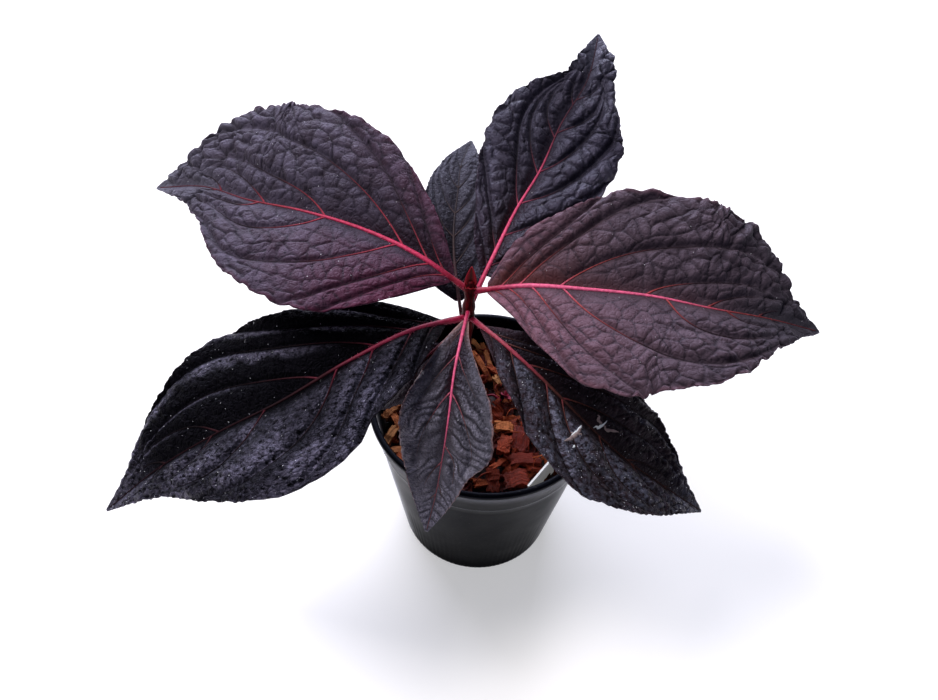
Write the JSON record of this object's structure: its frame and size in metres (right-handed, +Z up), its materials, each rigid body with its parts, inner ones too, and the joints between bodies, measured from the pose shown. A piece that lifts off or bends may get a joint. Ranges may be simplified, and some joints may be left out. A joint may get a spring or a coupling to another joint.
{
  "type": "potted mikania",
  "caption": "Dark-leaved mikania: broad quilted leaves in crossed pairs on a short red stem, rooted in husk chips in a tapered black nursery pot with a plain white label.",
  "frame": {"origin": "centre of the pot's flat underside, on the surface that the pot stands on", "axes": "+Z up along the pot's axis; -Y towards the side seen in the picture; +X to the right in that view"},
  "size_m": [0.2672, 0.2077, 0.1902],
  "materials": {
    "pot_plastic": "satin",
    "label_plastic": "satin",
    "husk_chips": "matte",
    "stem_skin": "satin",
    "leaf_stalk": "satin",
    "leaf_blade": "satin"
  },
  "bodies": {
    "root": {"pot": "pot_plastic", "plant_label": "label_plastic", "stem": "stem_skin", "husk_medium": "husk_chips", "leaf_left_top": "leaf_blade", "stalk_left_top": "leaf_stalk", "leaf_right_top": "leaf_blade", "stalk_right_top": "leaf_stalk", "leaf_back_right": "leaf_blade", "stalk_back_right": "leaf_stalk", "leaf_back": "leaf_blade", "stalk_back": "leaf_stalk", "leaf_front_left": "leaf_blade", "stalk_front_left": "leaf_stalk", "leaf_front": "leaf_blade", "stalk_front": "leaf_stalk", "leaf_front_right": "leaf_blade", "stalk_front_right": "leaf_stalk", "leaf_low_left": "leaf_blade", "stalk_low_left": "leaf_stalk"}
  },
  "joints": []
}
